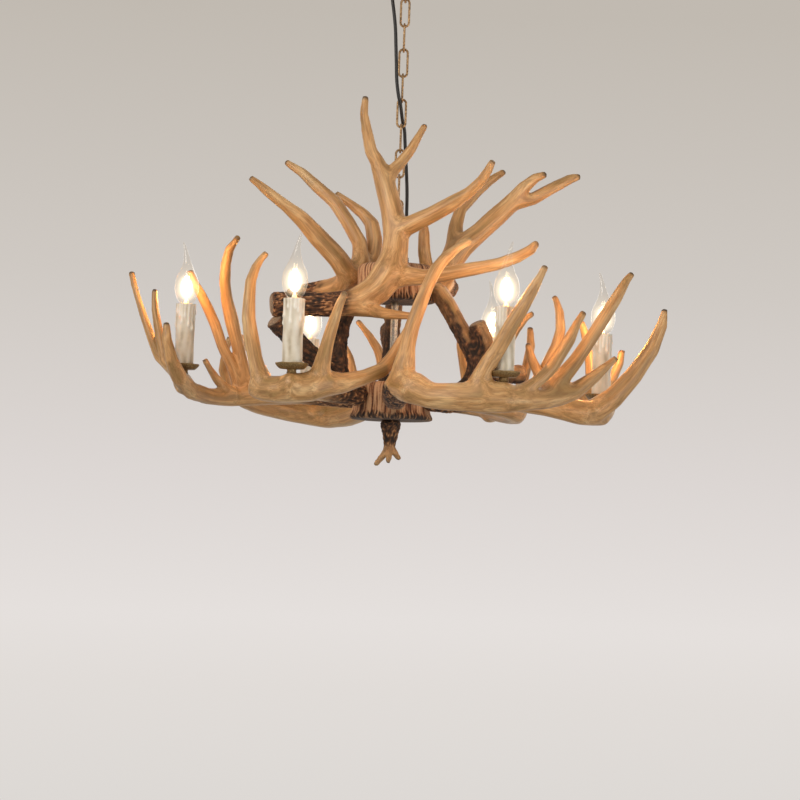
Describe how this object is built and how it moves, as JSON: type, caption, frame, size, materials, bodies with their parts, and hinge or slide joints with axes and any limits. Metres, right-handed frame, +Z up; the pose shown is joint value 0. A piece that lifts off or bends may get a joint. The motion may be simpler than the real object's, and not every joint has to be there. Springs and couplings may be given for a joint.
{
  "type": "antler chandelier",
  "caption": "Rustic ceiling chandelier of tan cast antlers round two bark-rimmed hubs, with candle lamps on bronze cups, hung by a link chain and supply cord from a canopy.",
  "frame": {"origin": "middle of the ceiling bracket's top face, against the ceiling; everything hangs below it", "axes": "+Z up through the chain; -Y faces the viewer of the picture; +X to that viewer's right"},
  "size_m": [0.7816, 0.6625, 0.7312],
  "materials": {
    "tan_resin": "hand-painted antler, satin, tan over pale bone",
    "bark_resin": "rough bark texture, dark brown with rust ridges",
    "hub_resin": "grooved cast burr, brown with a dark toothed rim",
    "bronze_metal": "antique bronze paint",
    "ivory_sleeve": "ivory wax-look drip sleeve",
    "socket_body": "white moulded lamp socket",
    "bulb_glass": "clear flame-shaped bulb",
    "rod_steel": "satin steel",
    "black_rubber": "black flexible cord sheath"
  },
  "bodies": {
    "ceiling_fitting": {"ceiling_bracket": "rod_steel", "canopy": "bronze_metal", "canopy_screw_1": "bronze_metal", "canopy_screw_2": "bronze_metal", "canopy_loop": "bronze_metal", "canopy_grip": "black_rubber", "supply_cord": "black_rubber"},
    "chain_upper": {"chain_link_10": "bronze_metal", "chain_link_9": "bronze_metal", "chain_link_8": "bronze_metal", "chain_link_7": "bronze_metal", "chain_link_6": "bronze_metal"},
    "chain_lower": {"chain_link_5": "bronze_metal", "chain_link_4": "bronze_metal", "chain_link_3": "bronze_metal", "chain_link_2": "bronze_metal", "chain_link_1": "bronze_metal"},
    "chandelier": {"hub_loop": "bronze_metal", "hub_grip": "black_rubber", "upper_hub": "hub_resin", "centre_rod": "rod_steel", "lower_hub": "hub_resin", "finial": "bark_resin", "left_brace": "bark_resin", "right_brace": "bark_resin", "rear_brace": "bark_resin", "left_antler": "tan_resin", "front_left_antler": "tan_resin", "front_right_antler": "tan_resin", "right_antler": "tan_resin", "rear_right_antler": "tan_resin", "rear_left_antler": "tan_resin", "front_upper_antler": "tan_resin", "right_upper_antler": "tan_resin", "left_upper_antler": "tan_resin", "cup_left": "bronze_metal", "sleeve_left": "ivory_sleeve", "socket_left": "socket_body", "cup_front_left": "bronze_metal", "sleeve_front_left": "ivory_sleeve", "socket_front_left": "socket_body", "cup_front_right": "bronze_metal", "sleeve_front_right": "ivory_sleeve", "socket_front_right": "socket_body", "cup_right": "bronze_metal", "sleeve_right": "ivory_sleeve", "socket_right": "socket_body", "cup_rear_right": "bronze_metal", "sleeve_rear_right": "ivory_sleeve", "socket_rear_right": "socket_body", "cup_rear_left": "bronze_metal", "sleeve_rear_left": "ivory_sleeve", "socket_rear_left": "socket_body"},
    "lamp_left": {"bulb_left": "bulb_glass"},
    "lamp_front_left": {"bulb_front_left": "bulb_glass"},
    "lamp_front_right": {"bulb_front_right": "bulb_glass"},
    "lamp_right": {"bulb_right": "bulb_glass"},
    "lamp_rear_right": {"bulb_rear_right": "bulb_glass"},
    "lamp_rear_left": {"bulb_rear_left": "bulb_glass"}
  },
  "joints": [
    {"name": "chain_upper_swing", "type": "hinge", "parent": "ceiling_fitting", "child": "chain_upper", "pos_m": [0, 0, -0.0513], "axis": [0, 1, 0], "range_deg": [-5, 5], "deforming": ["supply_cord"]},
    {"name": "chain_lower_swing", "type": "hinge", "parent": "chain_upper", "child": "chain_lower", "pos_m": [0, 0, -0.23595], "axis": [1, 0, 0], "range_deg": [-5, 5]},
    {"name": "chandelier_swing", "type": "hinge", "parent": "chain_lower", "child": "chandelier", "pos_m": [0, 0, -0.42095], "axis": [0, 1, 0], "range_deg": [-5, 5]},
    {"name": "lamp_left_lift", "type": "slide", "parent": "chandelier", "child": "lamp_left", "axis": [0, 0, 1], "range_m": [0, 0.026]},
    {"name": "lamp_front_left_lift", "type": "slide", "parent": "chandelier", "child": "lamp_front_left", "axis": [0, 0, 1], "range_m": [0, 0.026]},
    {"name": "lamp_front_right_lift", "type": "slide", "parent": "chandelier", "child": "lamp_front_right", "axis": [0, 0, 1], "range_m": [0, 0.026]},
    {"name": "lamp_right_lift", "type": "slide", "parent": "chandelier", "child": "lamp_right", "axis": [0, 0, 1], "range_m": [0, 0.026]},
    {"name": "lamp_rear_right_lift", "type": "slide", "parent": "chandelier", "child": "lamp_rear_right", "axis": [0, 0, 1], "range_m": [0, 0.026]},
    {"name": "lamp_rear_left_lift", "type": "slide", "parent": "chandelier", "child": "lamp_rear_left", "axis": [0, 0, 1], "range_m": [0, 0.026]}
  ]
}
